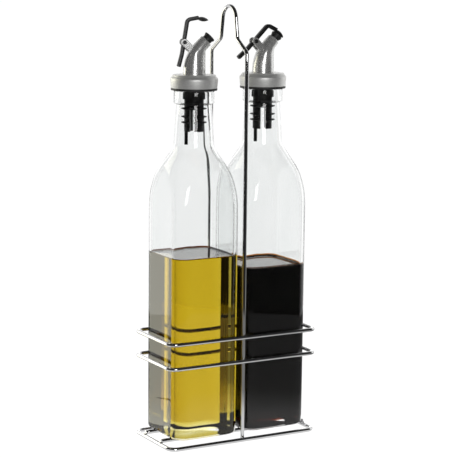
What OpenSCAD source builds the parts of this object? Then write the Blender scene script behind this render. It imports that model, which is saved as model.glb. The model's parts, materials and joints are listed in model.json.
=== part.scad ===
// Cruet set: two square glass bottles with flip-lever pourers in a chromed wire rack.
// Millimetres, +Z up. X runs along the rack, Y from front to back.
// The origin is the centre of the rack's footprint, on the table.

/* [Rack] */
// Length of the base frame, between wire centres
frame_l = 130; // [126:1:150]
// Width of the base frame, between wire centres
frame_w = 61.4; // [61:0.2:70]
// Thickness of all the wire
wire_d = 3.2; // [2.8:0.1:3.6]
// Centreline radius of the frame and ring corners
frame_corner_r = 6.5; // [4:0.5:10]
// Height of the lower guard ring
lower_ring_z = 65; // [40:1:75]
// Height of the upper guard ring
upper_ring_z = 84.2; // [80:0.2:120]
// Distance of each support wire from the middle of the rack
support_y = 13.5; // [9:0.5:20]

/* [Carry handle] */
// Height where the uprights bend inwards
handle_neck_z = 306; // [296:1:320]
// Height where the hoop starts
hoop_foot_z = 315.6; // [310:0.2:330]
// Half width of the hoop at its foot
hoop_foot_y = 12.9; // [12:0.1:18]
// Height of the hoop's top
hoop_top_z = 340.6; // [336:0.2:350]
// Half width between the lines of the hoop's sides, at the top
hoop_top_y = 9; // [8:0.1:11]

/* [Bottles] */
// Distance between the two bottles' axes
bottle_pitch = 61.4; // [61:0.1:64]
// Width of a bottle's square body
bottle_side = 57; // [52:0.5:57.5]
// Radius of the body's upright corners
bottle_corner_r = 11; // [9:0.5:16]
// Height of a bottle
bottle_h = 270; // [262:1:280]
// Height where the shoulder starts
shoulder_z = 185; // [176:1:190]
// Radius of the shoulder's outward curve
shoulder_r = 38; // [32:1:42]
// Slope of the shoulder, from the upright
shoulder_slope = 34.5; // [32:0.5:38]
// Outer radius of the neck at its foot
neck_foot_r = 16; // [15.5:0.1:17]
// Outer radius of the neck under its finish
neck_top_r = 13.85; // [13.5:0.05:14.5]
// Outer radius of the finish at the mouth
finish_r = 15.75; // [15:0.05:16.5]
// Radius of the mouth's bore
mouth_r = 10; // [9.95:0.05:10.5]
// Thickness of the glass wall
glass_wall = 3.2; // [2.4:0.1:4]
// Thickness of the glass base
glass_base = 9; // [6:0.5:12]

/* [Pourers] */
// Turn of the oil pourer in its neck
oil_turn = -15; // [-45:1:45]
// Turn of the vinegar pourer in its neck
vinegar_turn = 0; // [-45:1:45]
// Outer radius of the cap where it is widest
cap_r = 18.5; // [18:0.1:19]
// Height of the cap
cap_h = 10.2; // [9:0.1:12]
// Radius of the spout's foot
spout_r = 8.8; // [8:0.1:9.5]
// Radius of the spout's slanted mouth tube
mouth_tube_r = 5.1; // [4.8:0.1:5.6]
// Radius of the stopper's core
stopper_r = 7.5; // [7.4:0.1:8]
// Radius of the stopper's fins
fin_r = 9.85; // [9.5:0.05:9.85]
// Width of the flow slot in the stopper's lower end
flow_slot_w = 4; // [2:0.2:5]

/* [Levers] */
// How far the oil lever stands open
oil_lever_open = 36; // [0:1:40]
// How far the vinegar lever stands open
vinegar_lever_open = 0; // [0:1:40]
// Thickness of a lever, seen from the side
lever_t = 3; // [2.4:0.1:3.2]
// Width of a lever
lever_w = 3.6; // [3:0.1:3.8]
// Length of the finger tail behind the pin
tail_l = 19.2; // [16:0.1:21]

/* [Hidden] */
$fn = 96;

through = 1;          // how far a cutting solid runs past the faces it passes through
wire_r = wire_d / 2;
weld = 0.2;           // how far welded wires sink into each other
seat_gap = 0.1;       // gap under each piece that lifts off

// Rack
upright_y = frame_w / 2 - wire_d + weld;
upright_foot_z = wire_r;
support_z = 3 * wire_r - weld;
handle_bend_r = 4;
hoop_lean = atan((hoop_foot_y - hoop_top_y) / (hoop_top_z - hoop_foot_z));
hoop_top_gap = 0.01;  // keeps the hoop's two upper bends apart
hoop_r = hoop_top_y / tan(45 - hoop_lean / 2) - hoop_top_gap;

// Bottle, with heights above its own base
bottle_z = support_z + wire_r + seat_gap;
corner_reach = (bottle_side / 2 - bottle_corner_r) * sqrt(2) + bottle_corner_r;
bottom_edge_r = 5;
bottom_chamfer = 3;    // at the corners of the body, inside the rounded edge
neck_fillet_r = 14;
finish_h = 10;
finish_edge = 0.8;
bore_foot_z = bottle_h - 8;
punt_r = 62;
punt_depth = 2.4;
shoulder_top_z = shoulder_z + shoulder_r * sin(shoulder_slope);
shoulder_top_r = corner_reach - shoulder_r * (1 - cos(shoulder_slope));
neck_foot_z = shoulder_top_z + (shoulder_top_r - neck_foot_r) / tan(shoulder_slope);
neck_top_z = bottle_h - finish_h - finish_edge;
neck_slope = atan((neck_foot_r - neck_top_r) / (neck_top_z - neck_foot_z));
neck_tangent = neck_fillet_r * tan((shoulder_slope - neck_slope) / 2);
arc_steps = 10;
wire_sides = 20;

// Pourer, with heights above the table
rim_z = bottle_z + bottle_h;
gasket_t = 1.6;
cap_foot_r = cap_r - 0.5;
gasket_z = rim_z + seat_gap;
cap_z = gasket_z + gasket_t;
cap_wall = 1.8;
cap_foot_edge = 0.3;
cap_side_h = 6.4;
cap_round_r = 2.6;
cap_round_turn = 55;
cap_rim_r = cap_r - 1.9;
cap_rim_edge = 0.5;
spout_z = cap_z + cap_h;
stem_r = 4.6;
stem_bore_r = 3.2;
stem_foot_z = rim_z - 31.8;
stem_top_z = spout_z + 4.5;
slip = 0.02;          // gap between pieces that are pushed together
collar_r = 8.75;
collar_z = rim_z - 6.4;
collar_h = 5;
fin_root_t = 1.5;
fin_tip_t = 0.6;
fin_rise = 0.8;       // how far a fin's tip stands above its root
upper_fins = [-10.6, -14.9];   // heights of the fins from the bottle's rim
lower_fins = [-21.2, -25.6];
slot_top_z = rim_z - 12.6;
slot_turn = 65;
air_tube_r = 1.35;
air_tube_bore_r = 0.8;
air_tube_x = -(stem_r + air_tube_r + slip);
air_tube_foot_z = rim_z - 42;
air_tube_top_z = cap_z + 4;
vent_r = 0.8;
vent_x = -13;

// Spout: the mouth tube slants at 45 degrees
mouth_slant = 45;
mouth_x = 9.2;
mouth_z = spout_z + 26.1;
rim_offset = mouth_tube_r * sin(mouth_slant);
rim_back = [mouth_x - rim_offset, mouth_z + rim_offset];
rim_front = [mouth_x + rim_offset, mouth_z - rim_offset];
back_bend_r = 34;
middle_bend_r = 6;
front_bend_r = 3;
spout_half_w = 8.3;
spout_sides = 48;
spout_rings = 20;
spout_bore_r = 3.4;
spout_bore_top_z = spout_z + 17;
insert_r = 3.5;
insert_l = 6;
mouth_bore_l = 15;
nozzle_r = 3.9;
nozzle_lip_r = 4.6;
nozzle_l = 4.6;
nozzle_lip_l = 1.6;
nozzle_bore_r = 2.5;

// Hinge: the lever's own axes are u, along the closed arm, and v, away from the spout
pivot_x = -8.4;
pivot_z = spout_z + 24.9;
pin_r = 1;
pin_bore_r = 1.05;
pin_head_r = 1.6;
pin_head_t = 0.4;
ear_r = 2.8;
ear_t = 1.4;
ear_gap = 4;
ear_l = 8.4;
saddle_t = 1.6;
boss_r = 2.4;
mouth_u = ((mouth_x - pivot_x) + (mouth_z - pivot_z)) / sqrt(2) + nozzle_l;
mouth_v = ((mouth_z - pivot_z) - (mouth_x - pivot_x)) / sqrt(2);
seal_r = 4.8;
seal_h = 1.7;
seal_sphere_r = (seal_r * seal_r + seal_h * seal_h) / (2 * seal_h);
seal_squeeze = 0.05;  // how far the lens dips into the plane of the nozzle's lip
seal_u = mouth_u + seal_h - seal_squeeze;
arm_corner_u = 17.3;
arm_bend_r = 3.4;
tail_bend_u = -9.5;
tail_kick = 1;
tail_bend_r = 12;
seal_lap = 1.7;       // how far the lever's end laps over the lens
flap_out = 0.7;       // how far the lever ends beyond the middle of the lens, clear of the nozzle
flap_end = [seal_u + flap_out, mouth_v + seal_r - seal_lap];

// ---------------------------------------------------------------- shared shapes

// Points of an arc about [x, y], from angle a to angle b
function arc(x, y, r, a, b) =
    [for (i = [0 : arc_steps]) let (t = a + (b - a) * i / arc_steps) [x + r * cos(t), y + r * sin(t)]];

function unit(v) = v / norm(v);

function heading(p, q) = atan2(q.y - p.y, q.x - p.x);

// The turn at a corner of a path, from -180 to 180 degrees
function turn_at(p, q, r) =
    let (t = heading(q, r) - heading(p, q))
    t > 180 ? t - 360 : t < -180 ? t + 360 : t;

// Points round one corner of a path, on an arc of radius r
function corner_points(p, q, s, r) =
    let (
        turn = turn_at(p, q, s),
        h = heading(p, q),
        side = sign(turn) * r,
        start = q - r * tan(abs(turn) / 2) * [cos(h), sin(h)],
        middle = start + side * [-sin(h), cos(h)]
    )
    [for (k = [0 : arc_steps])
        let (a = h + turn * k / arc_steps)
        middle + side * [sin(a), -cos(a)]];

// A flat path through points, with each corner between the ends rounded to its radius
function rounded_path(points, radii) =
    let (last = len(points) - 1)
    [
        points[0],
        for (i = [1 : last - 1])
            each corner_points(points[i - 1], points[i], points[i + 1], radii[i - 1]),
        points[last],
    ];

// The sideways direction at each point of a path, lengthened where the path turns
function path_sides(path) =
    let (last = len(path) - 1)
    [for (k = [0 : last])
        let (
            before = unit(path[max(k, 1)] - path[max(k, 1) - 1]),
            after = unit(path[min(k, last - 1) + 1] - path[min(k, last - 1)]),
            along = unit(before + after)
        )
        [-along.y, along.x] / (along * before)];

// Outline of a flat bar of half thickness w along a path
function bar_outline(path, w) =
    let (sides = path_sides(path), last = len(path) - 1)
    concat(
        [for (k = [0 : last]) path[k] - w * sides[k]],
        [for (k = [last : -1 : 0]) path[k] + w * sides[k]]
    );

// A closed skin over rings that have the same number of points
module skin(rings) {
    n = len(rings[0]);
    last = len(rings) - 1;
    walls = [for (k = [0 : last - 1], i = [0 : n - 1])
        let (a = k * n + i, b = k * n + (i + 1) % n)
        [[a, a + n, b + n], [a, b + n, b]]];
    polyhedron(
        points = [for (ring = rings) each ring],
        faces = concat(
            [for (pair = walls) each pair],
            [[for (i = [0 : n - 1]) i]],
            [[for (i = [n - 1 : -1 : 0]) last * n + i]]
        )
    );
}

// A round wire of radius r along a path in the XY plane
module wire(path, r) {
    sides = path_sides(path);
    skin([for (k = [0 : len(path) - 1])
        [for (i = [0 : wire_sides - 1])
            let (a = 360 * i / wire_sides, p = path[k] + r * cos(a) * sides[k])
            [p.x, p.y, r * sin(a)]]]);
}

// A closed wire rectangle with rounded corners, centred on the origin at height z
module wire_frame(z) {
    straight_x = frame_l / 2 - frame_corner_r;
    straight_y = frame_w / 2 - frame_corner_r;
    translate([0, 0, z])
        for (side = [0, 180])
            rotate([0, 0, side]) {
                translate([-straight_x, frame_w / 2, 0])
                    rotate([0, 90, 0])
                        cylinder(r = wire_r, h = 2 * straight_x);
                translate([frame_l / 2, straight_y, 0])
                    rotate([90, 0, 0])
                        cylinder(r = wire_r, h = 2 * straight_y);
                for (corner = [0, 90])
                    translate([corner == 0 ? straight_x : -straight_x, straight_y, 0])
                        rotate([0, 0, corner])
                            rotate_extrude(angle = 90)
                                translate([frame_corner_r, 0])
                                    circle(r = wire_r);
            }
}

// A square prism with rounded upright edges, standing on the XY plane
module rounded_prism(side, r, h) {
    flat = side - 2 * r;
    for (size = [[side, flat], [flat, side]])
        translate([-size.x / 2, -size.y / 2, 0])
            cube([size.x, size.y, h]);
    for (x = [-flat / 2, flat / 2], y = [-flat / 2, flat / 2])
        translate([x, y, 0])
            cylinder(r = r, h = h);
}

// A wall with a rounded lower edge on both faces, for rounding a prism's bottom edges along X
module rounded_foot(side, r, h) {
    flat = side - 2 * r;
    translate([-side / 2, -side / 2, r])
        cube([side, side, h - r]);
    translate([-side / 2, -flat / 2, 0])
        cube([side, flat, h]);
    for (y = [-flat / 2, flat / 2])
        translate([-side / 2, y, r])
            rotate([0, 90, 0])
                cylinder(r = r, h = side);
}

// ---------------------------------------------------------------- rack

module base_frame() {
    color("silver") wire_frame(wire_r);
}

module support_wire(y) {
    color("silver")
        translate([-frame_l / 2, y, support_z])
            rotate([0, 90, 0])
                cylinder(r = wire_r, h = frame_l);
}

module guard_ring(z) {
    color("silver") wire_frame(z);
}

// One wire: front upright, hoop, back upright
module carry_handle() {
    front = [
        [-upright_y, upright_foot_z],
        [-upright_y, handle_neck_z],
        [-hoop_foot_y, hoop_foot_z],
        [-hoop_top_y, hoop_top_z],
    ];
    back = [for (i = [3 : -1 : 0]) [-front[i].x, front[i].y]];
    radii = [handle_bend_r, handle_bend_r, hoop_r, hoop_r, handle_bend_r, handle_bend_r];
    color("silver")
        rotate([90, 0, 90])
            wire(rounded_path(concat(front, back), radii), wire_r);
}

// ---------------------------------------------------------------- bottle

// Half outline of the shoulder and the neck's foot, drawn in by inset
function shoulder_outline(inset) = concat(
    arc(corner_reach - shoulder_r - inset, shoulder_z, shoulder_r, 0, shoulder_slope),
    arc(neck_foot_r - neck_tangent * sin(neck_slope) + neck_fillet_r * cos(neck_slope) - inset,
        neck_foot_z + neck_tangent * cos(neck_slope) + neck_fillet_r * sin(neck_slope),
        neck_fillet_r, 180 + shoulder_slope, 180 + neck_slope)
);

module bottle_outside() {
    intersection() {
        rounded_prism(bottle_side, bottle_corner_r, bottle_h);
        for_both_ways() rounded_foot(bottle_side, bottom_edge_r, bottle_h);
        rotate_extrude()
            polygon(concat(
                [[0, 0], [corner_reach - bottom_chamfer, 0], [corner_reach, bottom_edge_r]],
                shoulder_outline(0),
                [
                    [neck_top_r, neck_top_z],
                    [finish_r, neck_top_z + finish_edge],
                    [finish_r, bottle_h - finish_edge],
                    [finish_r - finish_edge, bottle_h],
                    [0, bottle_h],
                ]
            ));
    }
}

// What two crossed copies of the child have in common
module for_both_ways() {
    intersection() {
        children();
        rotate([0, 0, 90]) children();
    }
}

module bottle_inside() {
    side = bottle_side - 2 * glass_wall;
    intersection() {
        translate([0, 0, glass_base])
            rounded_prism(side, bottle_corner_r - glass_wall, bottle_h);
        translate([0, 0, glass_base])
            for_both_ways() rounded_foot(side, bottom_edge_r, bottle_h);
        rotate_extrude()
            polygon(concat(
                [
                    [0, glass_base],
                    [corner_reach - glass_wall - bottom_chamfer, glass_base],
                    [corner_reach - glass_wall, glass_base + bottom_edge_r],
                ],
                shoulder_outline(glass_wall),
                [[mouth_r, bore_foot_z], [mouth_r, bottle_h + through], [0, bottle_h + through]]
            ));
    }
}

module bottle(x) {
    color("aliceblue", 0.5)
        translate([x, 0, bottle_z])
            difference() {
                bottle_outside();
                bottle_inside();
                translate([0, 0, punt_depth - punt_r])
                    sphere(r = punt_r);
            }
}

// ---------------------------------------------------------------- pourer

// Puts a pourer's piece over its bottle
module over_bottle(x, turn) {
    translate([x, 0, 0])
        rotate([0, 0, turn])
            children();
}

module gasket() {
    color("black")
        difference() {
            translate([0, 0, gasket_z])
                cylinder(r = cap_foot_r, h = gasket_t);
            translate([0, 0, gasket_z - through])
                cylinder(r = stem_r + slip, h = gasket_t + 2 * through);
            translate([air_tube_x, 0, gasket_z - through])
                cylinder(r = air_tube_r + slip, h = gasket_t + 2 * through);
        }
}

// The opening through which the liquid enters, cut across the lower end
module flow_slot() {
    rotate([0, 0, slot_turn])
        translate([-fin_r - through, -flow_slot_w / 2, stem_foot_z - through])
            cube([2 * (fin_r + through), flow_slot_w, slot_top_z - stem_foot_z + through]);
}

// A thin fin round the stopper that rises towards its tip
module fin(z) {
    translate([0, 0, z])
        rotate_extrude()
            polygon([
                [stem_r, 0],
                [stopper_r, 0],
                [fin_r, fin_rise],
                [fin_r, fin_rise + fin_tip_t],
                [stopper_r, fin_root_t],
                [stem_r, fin_root_t],
            ]);
}

module stopper() {
    color("black")
        difference() {
            union() {
                difference() {
                    union() {
                        translate([0, 0, stem_foot_z])
                            cylinder(r = stopper_r, h = gasket_z - stem_foot_z);
                        for (h = lower_fins)
                            fin(rim_z + h);
                    }
                    flow_slot();
                }
                translate([0, 0, collar_z])
                    cylinder(r = collar_r, h = collar_h);
                for (h = upper_fins)
                    fin(rim_z + h);
            }
            translate([0, 0, stem_foot_z - through])
                cylinder(r = stem_r + slip, h = gasket_z - stem_foot_z + 2 * through);
            translate([air_tube_x, 0, stem_foot_z - through])
                cylinder(r = air_tube_r + slip, h = gasket_z - stem_foot_z + 2 * through);
        }
}

module stem() {
    color("dimgray")
        difference() {
            translate([0, 0, stem_foot_z])
                cylinder(r = stem_r, h = stem_top_z - stem_foot_z);
            translate([0, 0, stem_foot_z - through])
                cylinder(r = stem_bore_r, h = stem_top_z - stem_foot_z + 2 * through);
            flow_slot();
        }
}

module air_tube() {
    h = air_tube_top_z - air_tube_foot_z;
    color("dimgray")
        translate([air_tube_x, 0, air_tube_foot_z])
            difference() {
                cylinder(r = air_tube_r, h = h);
                translate([0, 0, -through])
                    cylinder(r = air_tube_bore_r, h = h + 2 * through);
            }
}

// Cap with a slight taper, a rounded shoulder and a flat top, open below
module cap() {
    color("silver")
        translate([0, 0, cap_z])
            difference() {
                rotate_extrude()
                    polygon(concat(
                        [[0, 0], [cap_foot_r - cap_foot_edge, 0], [cap_foot_r, cap_foot_edge]],
                        arc(cap_r - cap_round_r, cap_side_h, cap_round_r, 0, cap_round_turn),
                        [[cap_rim_r, cap_h - cap_rim_edge], [cap_rim_r - cap_rim_edge, cap_h], [0, cap_h]]
                    ));
                translate([0, 0, -through])
                    cylinder(r = cap_foot_r - cap_wall, h = cap_h - cap_wall + through);
                translate([0, 0, -through])
                    cylinder(r = stem_r + slip, h = cap_h + 2 * through);
                translate([vent_x, 0, -through])
                    cylinder(r = vent_r, h = cap_h + 2 * through);
            }
}

// Turns a piece drawn along +Z so that it runs out of the slanted mouth, z = 0 on the mouth's rim
module at_mouth() {
    translate([mouth_x, 0, mouth_z])
        rotate([0, 90 - mouth_slant, 0])
            children();
}

// A point of the spout's side view, a fraction f of the way from the cap to the mouth's rim:
// straight up from x, round a bend of radius r, and along the slant to the rim point
function rail(x, r, rim, f) =
    let (
        run = (rim.x - x - r * (1 - cos(mouth_slant))) / cos(mouth_slant),
        rise = rim.y - spout_z - (r + run) * sin(mouth_slant),
        bend = r * mouth_slant * PI / 180,
        d = f * (rise + bend + run),
        a = min(max((d - rise) / bend, 0), 1) * mouth_slant,
        slide = max(d - rise - bend, 0)
    )
    [
        x + r * (1 - cos(a)) + slide * cos(mouth_slant),
        spout_z + min(d, rise) + r * sin(a) + slide * sin(mouth_slant),
    ];

// One ring of the spout's skin: half an ellipse from its middle to the front rail and half to the
// back rail, so the front stays upright while the back curves over
function spout_ring(f) =
    let (
        middle = rail(0, middle_bend_r, [mouth_x, mouth_z], f),
        front = rail(spout_r, front_bend_r, rim_front, f),
        back = rail(-spout_r, back_bend_r, rim_back, f),
        half_w = spout_half_w + (mouth_tube_r - spout_half_w) * f * f
    )
    [for (i = [0 : spout_sides - 1])
        let (
            t = 360 * i / spout_sides,
            reach = (cos(t) > 0 ? front : back) - middle,
            p = middle + reach * abs(cos(t))
        )
        [p.x, half_w * sin(t), p.y]];

module spout() {
    color("silver")
        difference() {
            skin([for (k = [0 : spout_rings]) spout_ring(k / spout_rings)]);
            translate([0, 0, spout_z - through])
                cylinder(r = stem_r + slip, h = stem_top_z - spout_z + through);
            translate([0, 0, spout_z])
                cylinder(r = spout_bore_r, h = spout_bore_top_z - spout_z);
            at_mouth()
                translate([0, 0, -mouth_bore_l])
                    cylinder(r = insert_r, h = mouth_bore_l + through);
        }
}

// Soft nozzle pushed into the mouth, with a lip for the lever's seal
module nozzle() {
    color("black")
        at_mouth()
            difference() {
                union() {
                    translate([0, 0, -insert_l])
                        cylinder(r = insert_r - slip, h = insert_l + nozzle_l);
                    cylinder(r = nozzle_r, h = nozzle_l);
                    translate([0, 0, nozzle_l - nozzle_lip_l])
                        cylinder(r = nozzle_lip_r, h = nozzle_lip_l);
                }
                translate([0, 0, -insert_l - through])
                    cylinder(r = nozzle_bore_r, h = insert_l + nozzle_l + 2 * through);
            }
}

// ---------------------------------------------------------------- hinge

// Places a piece drawn in u, v about the pin, opened by an angle; the third axis runs along the pin
module at_pivot(open) {
    translate([pivot_x, 0, pivot_z])
        rotate([90, 0, 0])
            rotate([0, 0, mouth_slant + open])
                children();
}

module ear_side() {
    difference() {
        union() {
            circle(r = ear_r);
            translate([-ear_r, -ear_l])
                square([2 * ear_r, ear_l]);
        }
        circle(r = pin_r);
    }
}

// Two ears on a saddle that is let into the spout's back
module hinge_bracket() {
    color("silver")
        at_pivot(0) {
            for (s = [0, 1])
                mirror([0, 0, s])
                    translate([0, 0, ear_gap / 2])
                        linear_extrude(ear_t)
                            ear_side();
            translate([-ear_r, -ear_l, -ear_gap / 2])
                cube([2 * ear_r, saddle_t, ear_gap]);
        }
}

module hinge_pin() {
    reach = ear_gap / 2 + ear_t;
    color("black")
        at_pivot(0) {
            translate([0, 0, -reach])
                cylinder(r = pin_r, h = 2 * reach);
            for (s = [0, 1])
                mirror([0, 0, s])
                    translate([0, 0, reach])
                        cylinder(r = pin_head_r, h = pin_head_t);
        }
}

module lever(open) {
    middle = rounded_path(
        [[-tail_l, tail_kick], [tail_bend_u, 0], [arm_corner_u, 0], flap_end],
        [tail_bend_r, arm_bend_r]
    );
    color("black")
        at_pivot(open)
            difference() {
                translate([0, 0, -lever_w / 2]) {
                    linear_extrude(lever_w)
                        polygon(bar_outline(middle, lever_t / 2));
                    cylinder(r = boss_r, h = lever_w);
                }
                translate([0, 0, -lever_w])
                    cylinder(r = pin_bore_r, h = 2 * lever_w);
            }
}

// Lens-shaped stopper that the lever's end is pressed into
module lever_seal(open) {
    color("black")
        at_pivot(open)
            intersection_for (side = [-1, 1])
                translate([seal_u + side * (seal_sphere_r - seal_h), mouth_v, 0])
                    sphere(r = seal_sphere_r);
}

// ---------------------------------------------------------------- the set

oil_x = -bottle_pitch / 2;
vinegar_x = bottle_pitch / 2;

base_frame();
support_wire(-support_y);  // front_support_wire
support_wire(support_y);  // rear_support_wire
guard_ring(lower_ring_z);  // lower_guard_ring
guard_ring(upper_ring_z);  // upper_guard_ring
carry_handle();

bottle(oil_x);  // oil_bottle
over_bottle(oil_x, oil_turn) gasket();  // oil_gasket
over_bottle(oil_x, oil_turn) stopper();  // oil_stopper
over_bottle(oil_x, oil_turn) stem();  // oil_stem
over_bottle(oil_x, oil_turn) air_tube();  // oil_air_tube
over_bottle(oil_x, oil_turn) cap();  // oil_cap
over_bottle(oil_x, oil_turn) spout();  // oil_spout
over_bottle(oil_x, oil_turn) nozzle();  // oil_nozzle
over_bottle(oil_x, oil_turn) hinge_bracket();  // oil_hinge_bracket
over_bottle(oil_x, oil_turn) hinge_pin();  // oil_hinge_pin
over_bottle(oil_x, oil_turn) lever(oil_lever_open);  // oil_lever
over_bottle(oil_x, oil_turn) lever_seal(oil_lever_open);  // oil_lever_seal

bottle(vinegar_x);  // vinegar_bottle
over_bottle(vinegar_x, vinegar_turn) gasket();  // vinegar_gasket
over_bottle(vinegar_x, vinegar_turn) stopper();  // vinegar_stopper
over_bottle(vinegar_x, vinegar_turn) stem();  // vinegar_stem
over_bottle(vinegar_x, vinegar_turn) air_tube();  // vinegar_air_tube
over_bottle(vinegar_x, vinegar_turn) cap();  // vinegar_cap
over_bottle(vinegar_x, vinegar_turn) spout();  // vinegar_spout
over_bottle(vinegar_x, vinegar_turn) nozzle();  // vinegar_nozzle
over_bottle(vinegar_x, vinegar_turn) hinge_bracket();  // vinegar_hinge_bracket
over_bottle(vinegar_x, vinegar_turn) hinge_pin();  // vinegar_hinge_pin
over_bottle(vinegar_x, vinegar_turn) lever(vinegar_lever_open);  // vinegar_lever
over_bottle(vinegar_x, vinegar_turn) lever_seal(vinegar_lever_open);  // vinegar_lever_seal
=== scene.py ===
"""Looks of the cruet set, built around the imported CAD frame. Metres, +Z up.

X runs along the rack, Y from front to back. Every piece takes its place from the frame's boxes.
A bottle, its contents and its pourer are drawn about the bottle's own axis, then put in place.
"""

import json
import math

import bmesh
import bpy
from mathutils import Matrix, Vector


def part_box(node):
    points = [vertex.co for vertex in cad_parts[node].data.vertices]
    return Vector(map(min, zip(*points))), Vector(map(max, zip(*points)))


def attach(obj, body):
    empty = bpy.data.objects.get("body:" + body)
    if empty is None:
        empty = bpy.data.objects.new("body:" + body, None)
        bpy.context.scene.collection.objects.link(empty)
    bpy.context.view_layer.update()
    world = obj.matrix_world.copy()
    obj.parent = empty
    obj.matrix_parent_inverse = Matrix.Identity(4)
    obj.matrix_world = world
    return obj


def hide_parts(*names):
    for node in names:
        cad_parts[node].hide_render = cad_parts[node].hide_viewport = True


MM = 0.001
SIDES = ("oil", "vinegar")

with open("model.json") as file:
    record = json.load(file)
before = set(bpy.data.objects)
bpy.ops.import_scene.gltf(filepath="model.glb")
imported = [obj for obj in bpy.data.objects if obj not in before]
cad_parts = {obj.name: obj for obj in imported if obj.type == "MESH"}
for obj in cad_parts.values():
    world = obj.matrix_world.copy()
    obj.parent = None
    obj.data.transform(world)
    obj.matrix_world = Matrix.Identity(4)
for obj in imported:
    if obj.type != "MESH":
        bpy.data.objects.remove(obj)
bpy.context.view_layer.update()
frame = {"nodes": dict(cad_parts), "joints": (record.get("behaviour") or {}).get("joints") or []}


# ---------------------------------------------------------------- dimensions, from the frame


def half_size(node):
    """Half the size of a CAD node's box along each axis."""
    low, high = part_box(node)
    return (high - low) / 2


def middle(node):
    """Centre of a CAD node's box."""
    low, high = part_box(node)
    return (low + high) / 2


BASE = half_size("base_frame")
WIRE_R = BASE.z
FRAME_X = BASE.x - WIRE_R
FRAME_Y = BASE.y - WIRE_R
CORNER_R = 6.5 * MM
RING_NODES = {
    "base_frame": middle("base_frame").z,
    "lower_guard_ring": middle("lower_guard_ring").z,
    "upper_guard_ring": middle("upper_guard_ring").z,
}
SUPPORT = middle("rear_support_wire")
SUPPORT_HALF_L = half_size("rear_support_wire").x

UPRIGHT_Y = half_size("carry_handle").y - WIRE_R
HOOP_TOP_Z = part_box("carry_handle")[1].z - WIRE_R
HANDLE_FOOT_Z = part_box("carry_handle")[0].z
HANDLE_NECK_Z = 306 * MM
HOOP_FOOT = Vector((12.9, 315.6)) * MM
HOOP_TOP_Y = 9 * MM
HANDLE_BEND_R = 4 * MM
WELD_R = 1.5 * MM
WELD_T = 0.9 * MM
WIRE_STEP = 6 * MM

BOTTLE_X = {side: middle(f"{side}_bottle").x for side in SIDES}
BOTTLE_Z, RIM_Z = (corner.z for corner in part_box("oil_bottle"))
BOTTLE_H = RIM_Z - BOTTLE_Z
HALF_SIDE = half_size("oil_bottle").x
EDGE_R = 11 * MM
INNER_EDGE_MIN_R = 4 * MM
WALL = 3.2 * MM
FLOOR_EDGE_T = 5.5 * MM
FLOOR_DOME = 3 * MM
PUNT_DEPTH = 2.4 * MM
HEEL_H = 3 * MM
SHOULDER_Z = 185 * MM
SHOULDER_R = 38 * MM
SHOULDER_SLOPE = math.radians(34.5)
NECK_FOOT_R = 16 * MM
NECK_TOP_R = 13.85 * MM
NECK_BLEND = 2.2 * MM
FINISH_R = 15.75 * MM
FINISH_H = 10 * MM
BORE_R = 10 * MM
BORE_FOOT_Z = BOTTLE_H - 8 * MM
INNER_NECK_Z = 240 * MM

CAP_LOW, CAP_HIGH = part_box("vinegar_cap")
CAP_R = (CAP_HIGH - CAP_LOW).x / 2
CAP_H = (CAP_HIGH - CAP_LOW).z
SPOUT_Z = CAP_HIGH.z

FILL_Z = {"oil": 149.3 * MM, "vinegar": 137.5 * MM}


def lever_joint(side):
    """The frame's record of a lever's hinge."""
    return next(joint for joint in frame["joints"] if joint["name"] == f"{side}_lever_flip")


def pourer_turn(side):
    """How far a pourer is turned in its neck, from its hinge's direction."""
    axis = lever_joint(side)["axis"]
    return math.atan2(axis[0], -axis[1])


def over_bottle(side):
    """The place of a pourer drawn about its own axis, with its spout towards +X."""
    return Matrix.Translation((BOTTLE_X[side], 0, 0)) @ Matrix.Rotation(pourer_turn(side), 4, "Z")


# ---------------------------------------------------------------- material helpers


def new_material(name):
    """A new material, with its node tree and its shader."""
    material = bpy.data.materials.new(name)
    material.use_nodes = True
    shader = material.node_tree.nodes["Principled BSDF"]
    return material, material.node_tree, shader


def object_noise(tree, scale, detail=3.0, stretch=(1, 1, 1)):
    """A noise texture over the object's own coordinates."""
    coords = tree.nodes.new("ShaderNodeTexCoord")
    mapping = tree.nodes.new("ShaderNodeMapping")
    mapping.inputs["Scale"].default_value = stretch
    noise = tree.nodes.new("ShaderNodeTexNoise")
    noise.inputs["Scale"].default_value = scale
    noise.inputs["Detail"].default_value = detail
    tree.links.new(coords.outputs["Object"], mapping.inputs["Vector"])
    tree.links.new(mapping.outputs["Vector"], noise.inputs["Vector"])
    return noise.outputs["Fac"]


def spread(tree, value, low, high):
    """Maps a 0-1 value to low-high."""
    node = tree.nodes.new("ShaderNodeMapRange")
    node.inputs["To Min"].default_value = low
    node.inputs["To Max"].default_value = high
    tree.links.new(value, node.inputs["Value"])
    return node.outputs["Result"]


def blended(tree, value, dark, light):
    """A colour between dark and light, by a 0-1 value."""
    ramp = tree.nodes.new("ShaderNodeValToRGB")
    ramp.color_ramp.elements[0].position = 0.3
    ramp.color_ramp.elements[0].color = (*dark, 1)
    ramp.color_ramp.elements[1].position = 0.7
    ramp.color_ramp.elements[1].color = (*light, 1)
    tree.links.new(value, ramp.inputs["Fac"])
    return ramp.outputs["Color"]


def bumped(tree, shader, value, strength, distance):
    """Lets a 0-1 value raise the surface by up to the distance."""
    bump = tree.nodes.new("ShaderNodeBump")
    bump.inputs["Strength"].default_value = strength
    bump.inputs["Distance"].default_value = distance
    tree.links.new(value, bump.inputs["Height"])
    tree.links.new(bump.outputs["Normal"], shader.inputs["Normal"])


def added(tree, first, second):
    """Sum of two values."""
    total = tree.nodes.new("ShaderNodeMath")
    total.operation = "ADD"
    tree.links.new(first, total.inputs[0])
    tree.links.new(second, total.inputs[1])
    return total.outputs["Value"]


# ---------------------------------------------------------------- materials


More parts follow.
